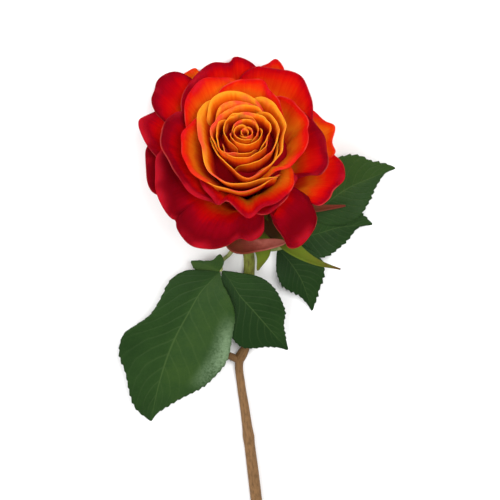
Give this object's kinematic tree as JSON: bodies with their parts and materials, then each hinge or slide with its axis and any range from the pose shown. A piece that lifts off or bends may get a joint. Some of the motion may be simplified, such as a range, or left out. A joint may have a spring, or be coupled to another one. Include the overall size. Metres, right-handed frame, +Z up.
{
  "type": "cut rose",
  "caption": "Cut rose lying on a surface: layered bloom with amber heart and red outer petals, hip with sepals, woody stem with a stub, and two toothed compound leaves.",
  "frame": {"origin": "on the surface that the rose lies on, under the middle of its bounding box", "axes": "+Z up from the surface, +Y along the stem from the bloom to the cut end, +X to the left of the bloom as seen from above with the stem down"},
  "size_m": [0.1352, 0.304, 0.0748],
  "materials": {
    "red_petal": "satin",
    "amber_petal": "satin",
    "sepal": "matte",
    "bark": "matte",
    "leaf": "satin"
  },
  "bodies": {
    "root": {"outer_petals": "red_petal", "inner_petals": "amber_petal", "calyx": "sepal", "stem": "bark", "leaf_left": "leaf", "leaf_right": "leaf"}
  },
  "joints": []
}
